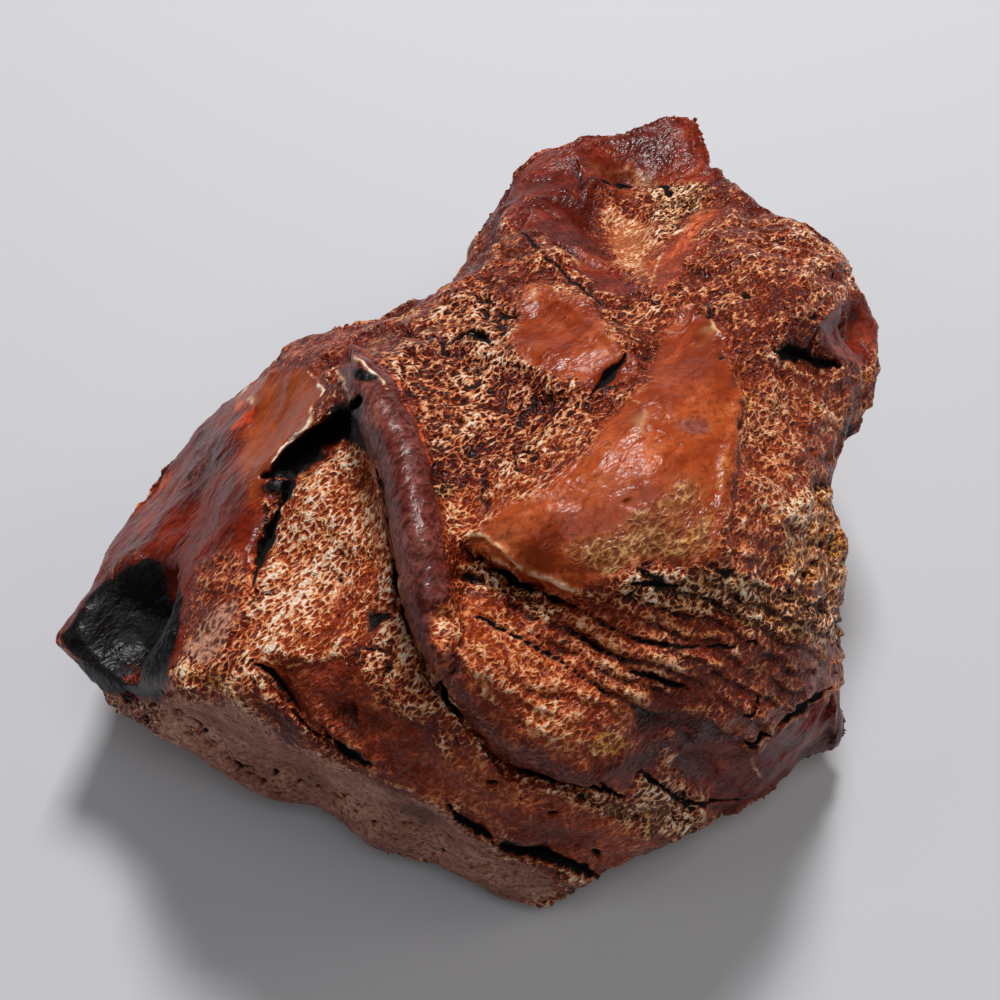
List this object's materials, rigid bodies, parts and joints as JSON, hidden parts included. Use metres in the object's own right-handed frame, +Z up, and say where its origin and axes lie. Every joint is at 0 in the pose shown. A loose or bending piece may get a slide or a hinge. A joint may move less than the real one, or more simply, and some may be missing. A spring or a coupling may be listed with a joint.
{
  "type": "polychrome jasper stone",
  "caption": "Rough palm-sized jasper stone, red, brown, cream and ochre, broken along ledges, with a raised root-like rib and open cracks, resting on a flat spot.",
  "frame": {"origin": "on the flat spot that the stone rests on, under the middle of its bounding box", "axes": "+Z up; -Y towards the low pitted front wall; +Y towards the notched far end; -X towards the dark scooped tip"},
  "size_m": [0.0808, 0.0884, 0.0402],
  "materials": {
    "jasper": "natural opaque jasper with a wet, waxy to glassy lustre on its broken faces and a duller, pitted rind"
  },
  "bodies": {
    "root": {"jasper": "jasper"}
  },
  "joints": []
}
